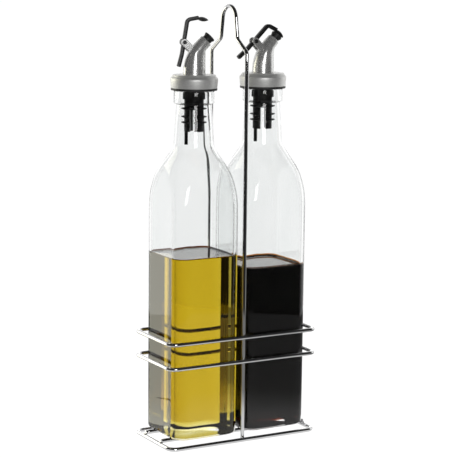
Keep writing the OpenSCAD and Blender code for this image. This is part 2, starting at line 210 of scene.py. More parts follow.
GRAIN_DEPTH = 0.1 * MM
WAVE_DEPTH = 0.25 * MM
STIPPLE_SCALE = 450
GLASS_IOR = 1.5
LIQUID_IOR = 1.47
# The skin that lies in the glass bends light no further
LIQUID_IN_GLASS_IOR = 1.0
FILM_IOR = 1.33


def chrome_material():
    """Bright chrome plate with faint drawing marks and a trace of haze."""
    material, tree, shader = new_material("chrome")
    shader.inputs["Metallic"].default_value = 1.0
    haze = object_noise(tree, scale=60, detail=4)
    tree.links.new(blended(tree, haze, (0.62, 0.62, 0.63), (0.74, 0.74, 0.74)),
                   shader.inputs["Base Color"])
    tree.links.new(spread(tree, haze, 0.03, 0.09), shader.inputs["Roughness"])
    marks = object_noise(tree, scale=900, detail=2)
    bumped(tree, shader, marks, 0.04, GRAIN_DEPTH)
    return material


def satin_metal_material():
    """Metallised plastic with a fine, soft grain."""
    material, tree, shader = new_material("satin_metal")
    shader.inputs["Metallic"].default_value = 0.8
    grain = object_noise(tree, scale=500, detail=4, stretch=(1, 1, 5))
    tree.links.new(blended(tree, grain, (0.66, 0.66, 0.65), (0.78, 0.78, 0.76)),
                   shader.inputs["Base Color"])
    tree.links.new(spread(tree, grain, 0.44, 0.52), shader.inputs["Roughness"])
    bumped(tree, shader, grain, 0.06, GRAIN_DEPTH)
    return material


def bright_metal_material():
    """Smoother metallised plastic, for the spout and the hinge bracket."""
    material, tree, shader = new_material("bright_metal")
    shader.inputs["Metallic"].default_value = 0.75
    grain = object_noise(tree, scale=400, detail=3)
    tree.links.new(blended(tree, grain, (0.6, 0.6, 0.59), (0.7, 0.7, 0.69)),
                   shader.inputs["Base Color"])
    tree.links.new(spread(tree, grain, 0.22, 0.32), shader.inputs["Roughness"])
    bumped(tree, shader, grain, 0.01, GRAIN_DEPTH)
    return material


def black_material(name, light, rough_low, rough_high, grain_scale):
    """Moulded black rubber or plastic, with a fine surface grain."""
    material, tree, shader = new_material(name)
    grain = object_noise(tree, grain_scale, detail=5)
    tree.links.new(blended(tree, grain, (0.003, 0.003, 0.003), (light, light, light)),
                   shader.inputs["Base Color"])
    tree.links.new(spread(tree, grain, rough_low, rough_high), shader.inputs["Roughness"])
    bumped(tree, shader, grain, 0.15, GRAIN_DEPTH)
    return material


def heel_stipple(tree):
    """Fine grain at the foot of a bottle that fades out above its heel."""
    coords = tree.nodes.new("ShaderNodeTexCoord")
    height = tree.nodes.new("ShaderNodeSeparateXYZ")
    fade = tree.nodes.new("ShaderNodeMapRange")
    fade.inputs["From Min"].default_value = BOTTLE_Z + HEEL_H
    fade.inputs["From Max"].default_value = BOTTLE_Z + HEEL_H / 2
    dots = tree.nodes.new("ShaderNodeTexVoronoi")
    dots.inputs["Scale"].default_value = STIPPLE_SCALE
    faded = tree.nodes.new("ShaderNodeMath")
    faded.operation = "MULTIPLY"
    tree.links.new(coords.outputs["Object"], height.inputs["Vector"])
    tree.links.new(coords.outputs["Object"], dots.inputs["Vector"])
    tree.links.new(height.outputs["Z"], fade.inputs["Value"])
    tree.links.new(fade.outputs["Result"], faded.inputs[0])
    tree.links.new(dots.outputs["Distance"], faded.inputs[1])
    return faded.outputs["Value"]


def glass_material():
    """Clear pressed glass, very slightly wavy and uneven, with a stippled heel."""
    material, tree, shader = new_material("glass")
    shader.inputs["Transmission Weight"].default_value = 1.0
    shader.inputs["IOR"].default_value = GLASS_IOR
    waves = object_noise(tree, scale=35, detail=2, stretch=(1, 1, 0.35))
    tree.links.new(blended(tree, waves, (0.955, 0.968, 0.965), (0.985, 0.992, 0.99)),
                   shader.inputs["Base Color"])
    tree.links.new(spread(tree, waves, 0.0, 0.01), shader.inputs["Roughness"])
    bumped(tree, shader, added(tree, waves, heel_stipple(tree)), 0.1, WAVE_DEPTH)
    return material


def wetted_glass_material():
    """The glass's inner face where liquid touches it: the liquid's own skin is there to be seen."""
    material, tree, shader = new_material("wetted_glass")
    shader.inputs["Alpha"].default_value = 0.0
    waves = object_noise(tree, scale=35)
    tree.links.new(spread(tree, waves, 0.0, 0.01), shader.inputs["Roughness"])
    return material


def liquid_material(name, tint_low, tint_high, clarity, absorbed, density, ior):
    """A clear coloured liquid, with its colour in the volume."""
    material, tree, shader = new_material(name)
    shader.inputs["Transmission Weight"].default_value = clarity
    shader.inputs["Roughness"].default_value = 0.0
    shader.inputs["IOR"].default_value = ior
    swirl = object_noise(tree, scale=18, detail=2)
    tree.links.new(blended(tree, swirl, tint_low, tint_high), shader.inputs["Base Color"])
    volume = tree.nodes.new("ShaderNodeVolumeAbsorption")
    volume.inputs["Color"].default_value = (*absorbed, 1)
    volume.inputs["Density"].default_value = density
    tree.links.new(volume.outputs["Volume"], tree.nodes["Material Output"].inputs["Volume"])
    return material


def film_material(name, tint_low, tint_high):
    """A thin wet film, thicker in some places than in others."""
    material, tree, shader = new_material(name)
    shader.inputs["Transmission Weight"].default_value = 1.0
    shader.inputs["Roughness"].default_value = 0.05
    shader.inputs["IOR"].default_value = FILM_IOR
    uneven = object_noise(tree, scale=120, detail=3)
    tree.links.new(blended(tree, uneven, tint_low, tint_high), shader.inputs["Base Color"])
    return material


def liquid_materials(name, *look):
    """The skin that lies in the glass, which bends light no further, and the open surface."""
    return (liquid_material(name, *look, LIQUID_IN_GLASS_IOR),
            liquid_material(f"{name}_surface", *look, LIQUID_IOR))


CHROME = chrome_material()
SATIN_METAL = satin_metal_material()
BRIGHT_METAL = bright_metal_material()
BLACK_RUBBER = black_material("black_rubber", 0.022, 0.45, 0.6, 700)
BLACK_PLASTIC = black_material("black_plastic", 0.016, 0.25, 0.38, 500)
VINEGAR_FILM = film_material("vinegar_film", (0.42, 0.17, 0.04), (0.6, 0.3, 0.12))
GLASS = glass_material()
WETTED_GLASS = wetted_glass_material()
LIQUIDS = {
    "oil": liquid_materials("olive_oil", (0.97, 0.96, 0.88), (1.0, 1.0, 0.94), 1.0,
                            (0.89, 0.82, 0.22), 95),
    "vinegar": liquid_materials("balsamic_vinegar", (0.9, 0.84, 0.76), (0.95, 0.88, 0.8), 0.985,
                                (0.55, 0.22, 0.06), 900),
}


# ---------------------------------------------------------------- mesh helpers


def add_piece(name, verts, faces, material, body, place=None, replaces=(), flat_angle=40):
    """Makes a smooth piece that rides on a body; edges sharper than flat_angle stay sharp."""
    mesh = bpy.data.meshes.new(name)
    mesh.from_pydata([tuple(v) for v in verts], [], faces)
    if place is not None:
        mesh.transform(place)
    shape = bmesh.new()
    shape.from_mesh(mesh)
    bmesh.ops.remove_doubles(shape, verts=shape.verts, dist=1e-7)
    bmesh.ops.recalc_face_normals(shape, faces=shape.faces)
    for face in shape.faces:
        face.smooth = True
    for edge in shape.edges:
        if len(edge.link_faces) == 2 and edge.calc_face_angle() > math.radians(flat_angle):
            edge.smooth = False
    shape.to_mesh(mesh)
    shape.free()
    mesh.materials.append(material)
    piece = bpy.data.objects.new(name, mesh)
    bpy.context.scene.collection.objects.link(piece)
    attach(piece, body)
    if replaces:
        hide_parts(*replaces)
    return piece


def skin(rings, closed=False, cap_end=True):
    """Vertices and faces over rings with the same number of points each."""
    count = len(rings[0])
    verts = [point for ring in rings for point in ring]
    faces = []
    steps = len(rings) if closed else len(rings) - 1
    for k in range(steps):
        low = k * count
        high = (k + 1) % len(rings) * count
        for i in range(count):
            j = (i + 1) % count
            faces.append((low + i, low + j, high + j, high + i))
    if not closed:
        faces.append(tuple(reversed(range(count))))
    if not closed and cap_end:
        faces.append(tuple(range((len(rings) - 1) * count, len(rings) * count)))
    return verts, faces


def merged(skins):
    """One list of vertices and one of faces out of several skins."""
    verts, faces = [], []
    for more_verts, more_faces in skins:
        base = len(verts)
        verts += more_verts
        faces += [tuple(i + base for i in face) for face in more_faces]
    return verts, faces


def angles_around(count, shift=0.0):
    """Evenly spaced angles of a full turn; a shift of 0.5 starts half a step on."""
    return [2 * math.pi * (i + shift) / count for i in range(count)]


def revolve(outline, segments=96, shift=0.0):
    """Rings of an outline of (radius, height) points about the Z axis."""
    angles = angles_around(segments, shift)
    return [[Vector((radius * math.cos(a), radius * math.sin(a), height)) for a in angles]
            for radius, height in outline]


def arc(x, y, radius, start, end, steps=8):
    """Points on an arc about (x, y), with angles in degrees."""
    points = []
    for k in range(steps + 1):
        a = math.radians(start + (end - start) * k / steps)
        points.append((x + radius * math.cos(a), y + radius * math.sin(a)))
    return points


def rounded_path(points, radii, closed=False, steps=10):
    """A flat path through 2-D points, with its corners rounded."""
    points = [Vector(p) for p in points]
    count = len(points)
    path = [] if closed else [points[0]]
    corners = range(count) if closed else range(1, count - 1)
    for number, i in enumerate(corners):
        before = (points[i] - points[i - 1]).normalized()
        after = (points[(i + 1) % count] - points[i]).normalized()
        turn = math.atan2(before.x * after.y - before.y * after.x, before.dot(after))
        radius = radii[number]
        start = points[i] - before * radius * math.tan(abs(turn) / 2)
        side = math.copysign(radius, turn)
        centre = start + side * Vector((-before.y, before.x))
        heading = math.atan2(before.y, before.x)
        for k in range(steps + 1):
            a = heading + turn * k / steps
            path.append(centre + side * Vector((math.sin(a), -math.cos(a))))
    if not closed:
        path.append(points[-1])
    return path


def resampled(path, spacing, closed=False):
    """The path with extra points, so that no step is longer than spacing."""
    points = []
    last = len(path) if closed else len(path) - 1
    for i in range(last):
        start, end = path[i], path[(i + 1) % len(path)]
        parts = max(1, math.ceil((end - start).length / spacing))
        points += [start.lerp(end, k / parts) for k in range(parts)]
    if not closed:
        points.append(path[-1])
    return points


def sweep(path, section, closed=False):
    """Rings of a 2-D section carried along a flat path in the XY plane.

    A section point's x runs sideways in the plane, and its y runs along Z.
    """
    rings = []
    count = len(path)
    for i, point in enumerate(path):
        before = path[i - 1] if closed or i else path[i]
        after = path[(i + 1) % count] if closed or i < count - 1 else path[i]
        along = (after - before).normalized()
        side = Vector((-along.y, along.x))
        rings.append([Vector((point.x + side.x * x, point.y + side.y * x, y)) for x, y in section])
    return rings


def circle(radius, count=24):
    """Section of a round wire."""
    return [(radius * math.cos(a), radius * math.sin(a)) for a in angles_around(count)]


def soft_ends(rings, steps):
    """Draws in both ends of a sweep; each step is a share of its width and a way outwards."""
    def drawn_in(ring, neighbour):
        centre = sum(ring, Vector()) / len(ring)
        out = (centre - sum(neighbour, Vector()) / len(neighbour)).normalized()
        return [[centre + (p - centre) * share + out * way for p in ring] for share, way in steps]

    start = drawn_in(rings[0], rings[1])
    end = drawn_in(rings[-1], rings[-2])
    return start + rings[1:-1] + end[::-1]


# ---------------------------------------------------------------- rack


# Steps of a wire's soft end: share of its width, way outwards
WIRE_END = ((0.75, 0), (0.93, -0.12 * MM), (1, -0.35 * MM))


def make_ring(node, height):
    """Base frame or guard ring: a rectangle of wire with rounded corners."""
    corners = [(-FRAME_X, -FRAME_Y), (FRAME_X, -FRAME_Y), (FRAME_X, FRAME_Y), (-FRAME_X, FRAME_Y)]
    path = resampled(rounded_path(corners, [CORNER_R] * 4, closed=True), WIRE_STEP, closed=True)
    verts, faces = skin(sweep(path, circle(WIRE_R), closed=True), closed=True)
    add_piece(f"{node}_wire", verts, faces, CHROME, "rack",
              Matrix.Translation((0, 0, height)), [node])


def make_support(node, y):
    """Straight wire along the rack that the bottles stand on."""
    path = resampled([Vector((-SUPPORT_HALF_L, 0)), Vector((SUPPORT_HALF_L, 0))], WIRE_STEP)
    verts, faces = skin(soft_ends(sweep(path, circle(WIRE_R)), WIRE_END))
    add_piece(f"{node}_rod", verts, faces, CHROME, "rack",
              Matrix.Translation((0, y, SUPPORT.z)), [node])


def make_handle():
    """Front upright, hoop and back upright, bent from one wire."""
    lean = math.atan2(HOOP_FOOT.x - HOOP_TOP_Y, HOOP_TOP_Z - HOOP_FOOT.y)
    hoop_r = HOOP_TOP_Y / math.tan(math.pi / 4 - lean / 2)
    front = [(-UPRIGHT_Y, HANDLE_FOOT_Z), (-UPRIGHT_Y, HANDLE_NECK_Z), (-HOOP_FOOT.x, HOOP_FOOT.y),
             (-HOOP_TOP_Y, HOOP_TOP_Z)]
    back = [(-y, z) for y, z in reversed(front)]
    radii = [HANDLE_BEND_R, HANDLE_BEND_R, hoop_r, hoop_r, HANDLE_BEND_R, HANDLE_BEND_R]
    path = resampled(rounded_path(front + back, radii, steps=14), WIRE_STEP)
    verts, faces = skin(soft_ends(sweep(path, circle(WIRE_R)), WIRE_END))
    stand_up = Matrix.Rotation(math.pi / 2, 4, "Z") @ Matrix.Rotation(math.pi / 2, 4, "X")
    add_piece("carry_handle_wire", verts, faces, CHROME, "rack", stand_up,
              ["carry_handle"])


def bead_rings(centre, radii, segments=20, steps=8):
    """Rings of a flattened ball, from near its lowest point to near its highest."""
    rings = []
    for k in range(steps + 1):
        tilt = math.radians(-88 + 176 * k / steps)
        rings.append([
            centre + Vector((radii.x * math.cos(tilt) * math.cos(a),
                             radii.y * math.cos(tilt) * math.sin(a),
                             radii.z * math.sin(tilt)))
            for a in angles_around(segments)
        ])
    return rings


def make_welds():
    """Small beads of metal where the wires cross."""
    beads = []
    for sign in (-1, 1):
        seam_y = sign * (UPRIGHT_Y + FRAME_Y) / 2
        for height in RING_NODES.values():
            beads.append(bead_rings(Vector((0, seam_y, height)), Vector((WELD_R, WELD_T, WELD_R))))
        for y in (SUPPORT.y, -SUPPORT.y):
            seam = Vector((sign * FRAME_X, y, (WIRE_R + SUPPORT.z) / 2))
            beads.append(bead_rings(seam, Vector((WELD_R, WELD_R, WELD_T))))
    verts, faces = merged([skin(bead) for bead in beads])
    add_piece("weld_beads", verts, faces, CHROME, "rack")


def make_rack():
    """All wires of the rack, with their welds."""
    for node, height in RING_NODES.items():
        make_ring(node, height)
    make_support("rear_support_wire", SUPPORT.y)
    make_support("front_support_wire", -SUPPORT.y)
    make_handle()
    make_welds()


# ---------------------------------------------------------------- bottles


BOTTLE_SEGMENTS = 160
ARCH_BLEND = 8 * MM
ARCH_FADE_TOP_Z = SHOULDER_Z + 16 * MM
ARCH_FADE_H = 30 * MM
FOOT_R = 3 * MM
INNER_FOOT_R = 2.5 * MM
# How much of the foot's shrinking the upright corners' radius takes up
CORNER_SHARE = 0.4
# The rings lie close together between these heights
CLOSE_FROM_Z = SHOULDER_Z - 14 * MM
CLOSE_TO_Z = 245 * MM
PUNT_SHARES = (0.02, 0.25, 0.5, 0.7, 0.85, 0.94)
FLOOR_SHARES = (0.02, 0.2, 0.35, 0.5, 0.65, 0.8, 0.9, 0.97)


def body_reach(inset):
    """Distance from the bottle's axis to its upright corners."""
    return (HALF_SIDE - EDGE_R) * math.sqrt(2) + EDGE_R - inset


def revolved_radius(z, inset):
    """Radius of the bottle's round outline at a height above the bottle's base."""
    reach = body_reach(inset)
    if z <= SHOULDER_Z:
        return reach
    shoulder_top_z = SHOULDER_Z + SHOULDER_R * math.sin(SHOULDER_SLOPE)
    shoulder_top_r = reach - SHOULDER_R * (1 - math.cos(SHOULDER_SLOPE))
    if z <= shoulder_top_z:
        drop = (z - SHOULDER_Z) / SHOULDER_R
        return reach - SHOULDER_R * (1 - math.sqrt(1 - drop * drop))
    neck_r = NECK_FOOT_R - inset
    neck_foot_z = shoulder_top_z + (shoulder_top_r - neck_r) / math.tan(SHOULDER_SLOPE)
    neck_top_z = BOTTLE_H - FINISH_H
    slope = (NECK_FOOT_R - NECK_TOP_R) / (neck_top_z - neck_foot_z)
    cone = shoulder_top_r - (z - shoulder_top_z) * math.tan(SHOULDER_SLOPE)
    neck = neck_r - (z - neck_foot_z) * slope
    return smooth_max(cone, neck, NECK_BLEND)


def smooth_max(a, b, blend):
    """The larger value, with a soft change from one to the other."""
    h = max(blend - abs(a - b), 0) / blend
    return max(a, b) + h * h * blend / 4


def smooth_min(a, b, blend):
    """The smaller value, with a soft change from one to the other."""
    return -smooth_max(-a, -b, blend)


def square_radius(angle, half, corner):
    """Distance from the centre of a rounded square to its outline, in one direction."""
    x, y = abs(math.cos(angle)), abs(math.sin(angle))
    if x < y:
        x, y = y, x
    flat = half - corner
    if half * y <= flat * x:
        return half / x
    along = flat * (x + y)
    return along + math.sqrt(max(along * along - 2 * flat * flat + corner * corner, 0))


def square_ring(z, half, corner, round_r, segments, blend):
    """One ring of a bottle: the rounded square body cut by the round shoulder."""
    ring = []
    for a in angles_around(segments, 0.5):
        r = smooth_min(square_radius(a, half, corner), round_r, blend)
        ring.append(Vector((r * math.cos(a), r * math.sin(a), z)))
    return ring


def clear_of_shoulder(z):
    """1 in the straight body and 0 in the shoulder, with a smooth change between them."""
    share = min(max((ARCH_FADE_TOP_Z - z) / ARCH_FADE_H, 0), 1)
    return share * share * (3 - 2 * share)


def wall_ring(z, inset=0.0, foot_z=0.0, foot_r=FOOT_R):
    """A ring of the bottle's outer (inset 0) or inner face, with its lower edge rounded."""
    shrink = 0.0
    if z < foot_z + foot_r:
        drop = (foot_z + foot_r - z) / foot_r
        shrink = foot_r * (1 - math.sqrt(max(1 - drop * drop, 0)))
    half = HALF_SIDE - inset - shrink
    corner = max(EDGE_R - inset - shrink * CORNER_SHARE, INNER_EDGE_MIN_R)
    round_r = revolved_radius(z, inset) + ARCH_BLEND * clear_of_shoulder(z)
    return square_ring(z, half, corner, round_r, BOTTLE_SEGMENTS, ARCH_BLEND)


def foot_heights(foot_r, steps=8):
    """Heights above the foot, close together where the lower edge turns."""
    return [foot_r * (1 - math.cos(math.radians(90 * k / steps))) for k in range(steps + 1)]


def span(start, end, steps):
    """Evenly spaced values after start, up to end."""
    return [start + (end - start) * k / steps for k in range(1, steps + 1)]


def scaled_ring(ring, share, z):
    """A ring drawn in towards the axis, at another height."""
    return [Vector((p.x * share, p.y * share, z)) for p in ring]


def outer_rings():
    """From the middle of the punt, round the foot and up to the finish."""
    rim = wall_ring(0.0)
    rings = [scaled_ring(rim, share, PUNT_DEPTH * (1 - (share / PUNT_SHARES[-1]) ** 2))
             for share in PUNT_SHARES]
    rings += [wall_ring(z) for z in foot_heights(FOOT_R)]
    rings += [wall_ring(z) for z in span(FOOT_R, CLOSE_FROM_Z, 10)]
    rings += [wall_ring(z) for z in span(CLOSE_FROM_Z, CLOSE_TO_Z, 44)]
    rings += [wall_ring(z) for z in span(CLOSE_TO_Z, BOTTLE_H - FINISH_H - 0.8 * MM, 3)]
    return rings


def finish_outline():
    """The thickened ring round the mouth, then down into the bore."""
    low = BOTTLE_H - FINISH_H
    low_r, rim_r, mouth_r = 0.6 * MM, 1.0 * MM, 0.8 * MM
    return (
        arc(FINISH_R - low_r, low + low_r, low_r, -80, 0, 4)
        + arc(FINISH_R - rim_r, BOTTLE_H - rim_r, rim_r, 0, 90, 6)
        + arc(BORE_R + mouth_r, BOTTLE_H - mouth_r, mouth_r, 90, 180, 6)
        + [(BORE_R, BORE_FOOT_Z)]
    )


def inner_radius(z):
    """Radius of the neck's inside, which narrows to the straight bore."""
    share = (z - INNER_NECK_Z) / (BORE_FOOT_Z - INNER_NECK_Z)
    return revolved_radius(INNER_NECK_Z, WALL) * (1 - share) + BORE_R * share


def inner_ring(z, grow=0.0):
    """A ring of the bottle's inner face, or of a surface that grows into the glass."""
    if z > INNER_NECK_Z:
        return square_ring(z, HALF_SIDE, EDGE_R, inner_radius(z), BOTTLE_SEGMENTS, ARCH_BLEND)
    return wall_ring(z, WALL - grow, FLOOR_EDGE_T - grow, INNER_FOOT_R)


def inner_rings(level):
    """From the straight bore down to the middle of the floor, and how many rings are dry."""
    heights = [FLOOR_EDGE_T + z for z in foot_heights(INNER_FOOT_R)]
    heights += span(FLOOR_EDGE_T + INNER_FOOT_R, level, 10)
    heights += span(level, CLOSE_FROM_Z, 3)
    heights += span(CLOSE_FROM_Z, CLOSE_TO_Z, 44)
    heights += span(CLOSE_TO_Z, BORE_FOOT_Z - 1 * MM, 4)
    rings = [inner_ring(z) for z in reversed(heights)]
    dry = sum(1 for z in heights if z > level + 0.01 * MM)
    return rings + list(reversed(floor_rings(rings[-1], FLOOR_EDGE_T))), dry


def floor_rings(edge, z):
    """The domed floor of the bottle's inside, from the middle out to its edge."""
    return [scaled_ring(edge, share, z + FLOOR_DOME * (1 - share * share) ** 1.5)
            for share in FLOOR_SHARES]


def assign_from(piece, faces, first_vertex, slot):
    """Gives a material slot to the faces that use no vertex before first_vertex."""
    for number, face in enumerate(faces):
        if min(face) >= first_vertex:
            piece.data.polygons[number].material_index = slot


def make_bottle(side):
    """Glass bottle: its inner face has a second material where the contents touch it."""
    finish = revolve(finish_outline(), BOTTLE_SEGMENTS, shift=0.5)
    outer = outer_rings()
    inner, dry = inner_rings(FILL_Z[side] - BOTTLE_Z)
    verts, faces = skin(outer + finish + inner)
    bottle = add_piece(f"{side}_glass_bottle", verts, faces, GLASS, f"{side}_glass",
                       Matrix.Translation((BOTTLE_X[side], 0, BOTTLE_Z)), [f"{side}_bottle"])
    bottle.data.materials.append(WETTED_GLASS)
    first_wet = (len(outer) + len(finish) + dry) * BOTTLE_SEGMENTS
    assign_from(bottle, faces, first_wet, 1)


LIQUID_SINK = 0.12 * MM
MENISCUS_H = 1.2 * MM
# Rings of an open surface, which curves up to meet the glass: share of the width, depth
SURFACE_RINGS = ((0.985, 0.45 * MM), (0.965, 0.8 * MM), (0.93, 1.05 * MM), (0.85, MENISCUS_H),
                 (0.5, MENISCUS_H), (0.02, MENISCUS_H))
# Height above the contents' surface, and depth into the glass
FILM_OUTLINE = (
    (0.1 * MM, 0.05 * MM),
    (0.9 * MM, 0.05 * MM),
    (0.9 * MM, 0),
    (0.4 * MM, -0.15 * MM),
    (0.1 * MM, -0.4 * MM),
)


def make_liquid(side):
    """The contents, sunk a little into the glass so that no air shows between them."""
    level = FILL_Z[side] - BOTTLE_Z
    floor_z = FLOOR_EDGE_T - LIQUID_SINK
    heights = [floor_z + z for z in foot_heights(INNER_FOOT_R)]
    heights += span(floor_z + INNER_FOOT_R, level - MENISCUS_H, 8)
    rings = floor_rings(inner_ring(floor_z, LIQUID_SINK), floor_z)
    rings += [inner_ring(z, LIQUID_SINK) for z in heights]
    top = inner_ring(level, LIQUID_SINK)
    rings.append(scaled_ring(top, 1.0, level))
    for share, drop in SURFACE_RINGS:
        rings.append(scaled_ring(top, share, level - drop))
    verts, faces = skin(rings)
    skin_material, surface_material = LIQUIDS[side]
    contents = add_piece(f"{side}_contents", verts, faces, skin_material, f"{side}_glass",
                         Matrix.Translation((BOTTLE_X[side], 0, BOTTLE_Z)))
    contents.data.materials.append(surface_material)
    first_open = (len(rings) - len(SURFACE_RINGS) - 1) * BOTTLE_SEGMENTS
    assign_from(contents, faces, first_open, 1)


def make_vinegar_film():
    """The brown film that the vinegar leaves on the glass, just above its surface."""
    level = FILL_Z["vinegar"] - BOTTLE_Z
    rings = [inner_ring(level + height, sink) for height, sink in FILM_OUTLINE]
    verts, faces = skin(rings, closed=True)
    add_piece("vinegar_film", verts, faces, VINEGAR_FILM, "vinegar_glass",
              Matrix.Translation((BOTTLE_X["vinegar"], 0, BOTTLE_Z)))


# ---------------------------------------------------------------- pourers


CAP_SIDE_H = 6.4 * MM
CAP_ROUND_R = 2.6 * MM
CAP_WALL = 1.8 * MM
CAP_TAPER = 0.5 * MM
CAP_RIM_INSET = 1.9 * MM
STEM_HOLE_R = 4.62 * MM

MOUTH_SLANT = math.radians(45)
MOUTH = Vector((9.2 * MM, 0, SPOUT_Z + 26.1 * MM))
MOUTH_TUBE_R = 5.1 * MM
SPOUT_R = 8.8 * MM
SPOUT_HALF_W = 8.3 * MM
BACK_BEND_R = 34 * MM
MIDDLE_BEND_R = 6 * MM
FRONT_BEND_R = 3 * MM
INSERT_R = 3.5 * MM
INSERT_DEPTH = 9 * MM
NOZZLE_R = 3.9 * MM
NOZZLE_LIP_R = 4.6 * MM
NOZZLE_L = 4.6 * MM
NOZZLE_PLUG_L = 6 * MM
NOZZLE_BORE_R = 2.5 * MM


def make_cap(side):
    """Tapered cap with a rounded shoulder, a bevel above it and a flat top."""
    foot_r = CAP_R - CAP_TAPER
    rim_r = CAP_R - CAP_RIM_INSET
    top = CAP_H
    edge_r = 0.5 * MM
    outside = (
        [(foot_r - 0.3 * MM, 0), (foot_r - 0.08 * MM, 0.08 * MM), (foot_r, 0.3 * MM),
         (CAP_R - 0.05 * MM, CAP_SIDE_H - 0.6 * MM)]
        + arc(CAP_R - CAP_ROUND_R, CAP_SIDE_H, CAP_ROUND_R, 0, 55, 8)
        + arc(rim_r - edge_r, top - edge_r, edge_r, 10, 90, 5)
        + [(STEM_HOLE_R + 6 * MM, top), (STEM_HOLE_R, top)]
    )
    inside = [
        (STEM_HOLE_R, top - CAP_WALL),
        (foot_r - CAP_WALL, top - CAP_WALL),
        (foot_r - CAP_WALL, 0),
    ]
    verts, faces = skin(revolve(outside + inside, 128), closed=True)
    add_piece(f"{side}_cap_shell", verts, faces, SATIN_METAL, f"{side}_pourer",
              over_bottle(side) @ Matrix.Translation((0, 0, CAP_LOW.z)), [f"{side}_cap"])


def rail(x, radius, rim, share):
    """A point of the spout's side view: up, round a bend, and along the slant to the rim."""
    cos45, sin45 = math.cos(MOUTH_SLANT), math.sin(MOUTH_SLANT)
    run = (rim.x - x - radius * (1 - cos45)) / cos45
    rise = rim.y - SPOUT_Z - (radius + run) * sin45
    bend = radius * MOUTH_SLANT
    d = share * (rise + bend + run)
    a = min(max((d - rise) / bend, 0), 1) * MOUTH_SLANT
    slide = max(d - rise - bend, 0)
    return Vector((x + radius * (1 - math.cos(a)) + slide * cos45,
                   SPOUT_Z + min(d, rise) + radius * math.sin(a) + slide * sin45))


def spout_ring(share, segments=64):
    """Half an ellipse to the upright front rail and half to the back rail, which curves over."""
    offset = MOUTH_TUBE_R * math.sin(MOUTH_SLANT)
    middle = rail(0, MIDDLE_BEND_R, Vector((MOUTH.x, MOUTH.z)), share)
    back = rail(-SPOUT_R, BACK_BEND_R, Vector((MOUTH.x - offset, MOUTH.z + offset)), share)
    front = rail(SPOUT_R, FRONT_BEND_R, Vector((MOUTH.x + offset, MOUTH.z - offset)), share)
    half_w = SPOUT_HALF_W + (MOUTH_TUBE_R - SPOUT_HALF_W) * share * share
    ring = []
    for t in angles_around(segments):
        reach = (front if math.cos(t) > 0 else back) - middle
        p = middle + reach * abs(math.cos(t))
        ring.append(Vector((p.x, half_w * math.sin(t), p.y)))
    return ring


def mouth_ring(radius, depth, segments=64):
    """A ring across the slanted mouth, depth below its rim, in step with the spout's rings."""
    along = Vector((math.sin(MOUTH_SLANT), 0, math.cos(MOUTH_SLANT)))
    front = Vector((math.cos(MOUTH_SLANT), 0, -math.sin(MOUTH_SLANT)))
    side = Vector((0, 1, 0))
    centre = MOUTH - along * depth
    return [centre + radius * (front * math.cos(t) + side * math.sin(t))
            for t in angles_around(segments)]


def make_spout(side):
    """Spout that narrows from its foot to a slanted mouth, with a hole for the nozzle."""
    steps = 40
    rings = [spout_ring(k / steps) for k in range(steps)]
    rings += [
        mouth_ring(MOUTH_TUBE_R, 0.35 * MM),
        mouth_ring(MOUTH_TUBE_R - 0.12 * MM, 0.08 * MM),
        mouth_ring(MOUTH_TUBE_R - 0.4 * MM, 0),
        mouth_ring(INSERT_R + 0.3 * MM, 0),
        mouth_ring(INSERT_R, 0.3 * MM),
        mouth_ring(INSERT_R, INSERT_DEPTH),
    ]
    verts, faces = skin(rings)
    add_piece(f"{side}_spout_body", verts, faces, BRIGHT_METAL, f"{side}_pourer",
              over_bottle(side), [f"{side}_spout"])


def make_nozzle(side):
    """Soft tube that flares to a lip where the lever's seal lands."""
    plug_r = INSERT_R - 0.02 * MM
    plug = [
        (NOZZLE_BORE_R, -NOZZLE_PLUG_L),
        (plug_r, -NOZZLE_PLUG_L),
        (plug_r, -0.2 * MM),
        (INSERT_R + 0.2 * MM, 0.0),
    ]
    flare = [
        (NOZZLE_R, 0.3 * MM),
        (NOZZLE_R - 0.1 * MM, 1.4 * MM),
        (NOZZLE_R, 2.4 * MM),
        (NOZZLE_LIP_R - 0.15 * MM, 3.3 * MM),
        (NOZZLE_LIP_R, 3.8 * MM),
    ]
    lip = [
        (NOZZLE_LIP_R - 0.05 * MM, NOZZLE_L - 0.3 * MM),
        (NOZZLE_LIP_R - 0.4 * MM, NOZZLE_L),
        (NOZZLE_BORE_R + 0.9 * MM, NOZZLE_L - 0.1 * MM),
        (NOZZLE_BORE_R + 0.2 * MM, NOZZLE_L - 0.5 * MM),
        (NOZZLE_BORE_R, NOZZLE_L - 1.2 * MM),
    ]
    verts, faces = skin(revolve(plug + flare + lip, 64), closed=True)
    slant = Matrix.Translation(MOUTH) @ Matrix.Rotation(math.pi / 2 - MOUTH_SLANT, 4, "Y")
    add_piece(f"{side}_soft_nozzle", verts, faces, BLACK_RUBBER, f"{side}_pourer",
              over_bottle(side) @ slant, [f"{side}_nozzle"])


# ---------------------------------------------------------------- levers


PIVOT = Vector((-8.4 * MM, 0, SPOUT_Z + 24.9 * MM))
LEVER_T = 3.0 * MM
LEVER_W = 3.6 * MM
LEVER_EDGE_R = 0.7 * MM
LEVER_STEP = 1.5 * MM
# Steps of a lever's soft end: share of its width, way outwards
BAR_END = ((0.72, 0), (1, -0.35 * MM))
EAR_R = 2.8 * MM
EAR_T = 1.4 * MM
EAR_GAP = 4 * MM
EAR_L = 8.4 * MM
SADDLE_T = 1.6 * MM
OPEN_ANGLE = {side: -math.radians(lever_joint(side)["range_deg"][0]) for side in SIDES}
FLAP_END_U = 20.24 * MM
FLAP_END_V = -8.5 * MM
BOSS_R = 2.4 * MM
ARM_CORNER_U = 17.3 * MM
ARM_CORNER_R = 3.4 * MM
TAIL_END = Vector((-19.2, 1.0)) * MM
TAIL_BEND_U = -9.5 * MM
TAIL_BEND_R = 12 * MM


